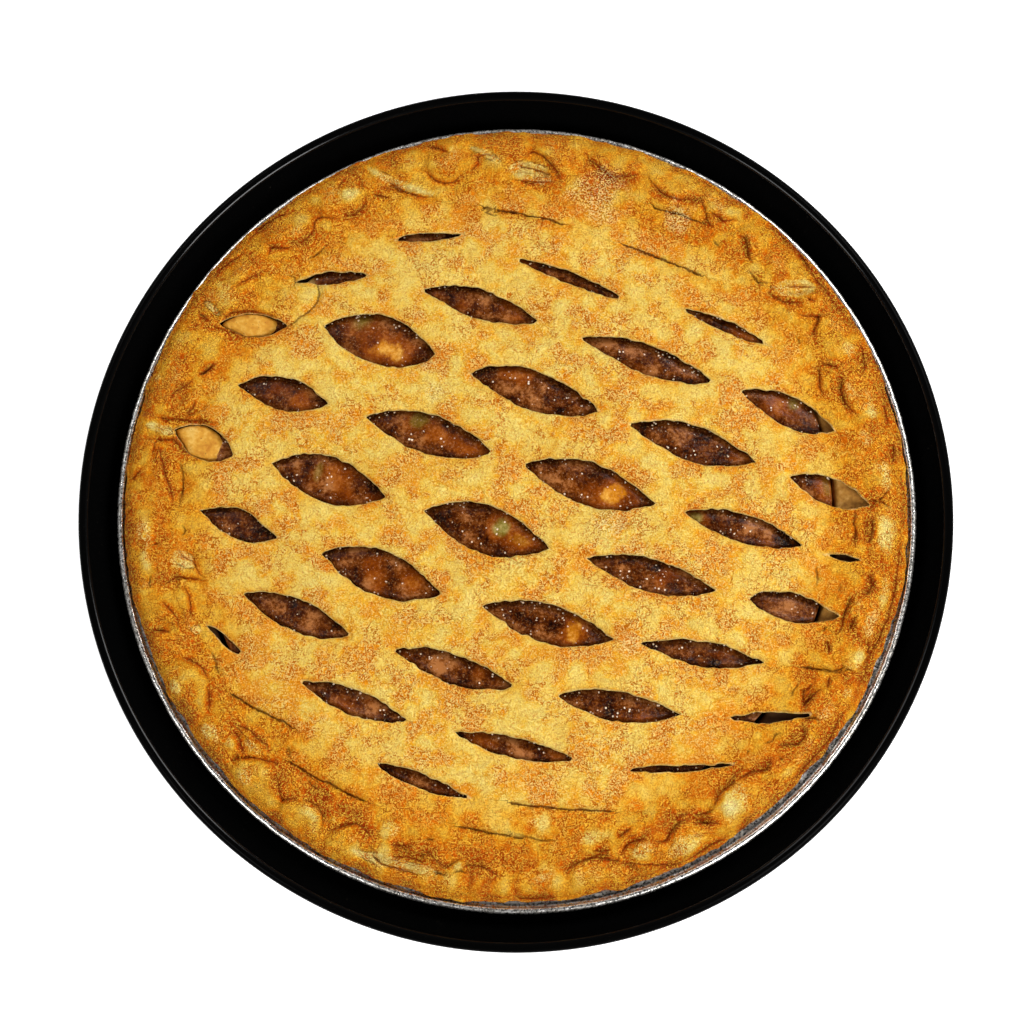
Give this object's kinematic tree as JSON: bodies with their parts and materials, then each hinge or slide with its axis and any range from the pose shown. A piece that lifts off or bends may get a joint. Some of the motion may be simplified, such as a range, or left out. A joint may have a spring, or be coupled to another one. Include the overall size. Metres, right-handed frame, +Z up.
{
  "type": "lattice apple pie",
  "caption": "Round apple pie with a domed, slit lattice lid and a crimped rim, baked in a foil tin that stands in a round glossy dish.",
  "frame": {"origin": "middle of the dish, on the surface that it stands on", "axes": "+Z up; -Y towards the person looking at the pie, +X to their right"},
  "size_m": [0.268, 0.268, 0.0525],
  "materials": {
    "glazed_black": "glossy",
    "foil": "satin",
    "pale_pastry": "matt, pale baked dough",
    "apple_syrup": "glossy, translucent brown",
    "baked_crust": "matt, baked and crackled"
  },
  "bodies": {
    "root": {"pie_dish": "glazed_black", "foil_tin": "foil", "pastry_case": "pale_pastry", "apple_filling": "apple_syrup", "lattice_crust": "baked_crust"}
  },
  "joints": []
}
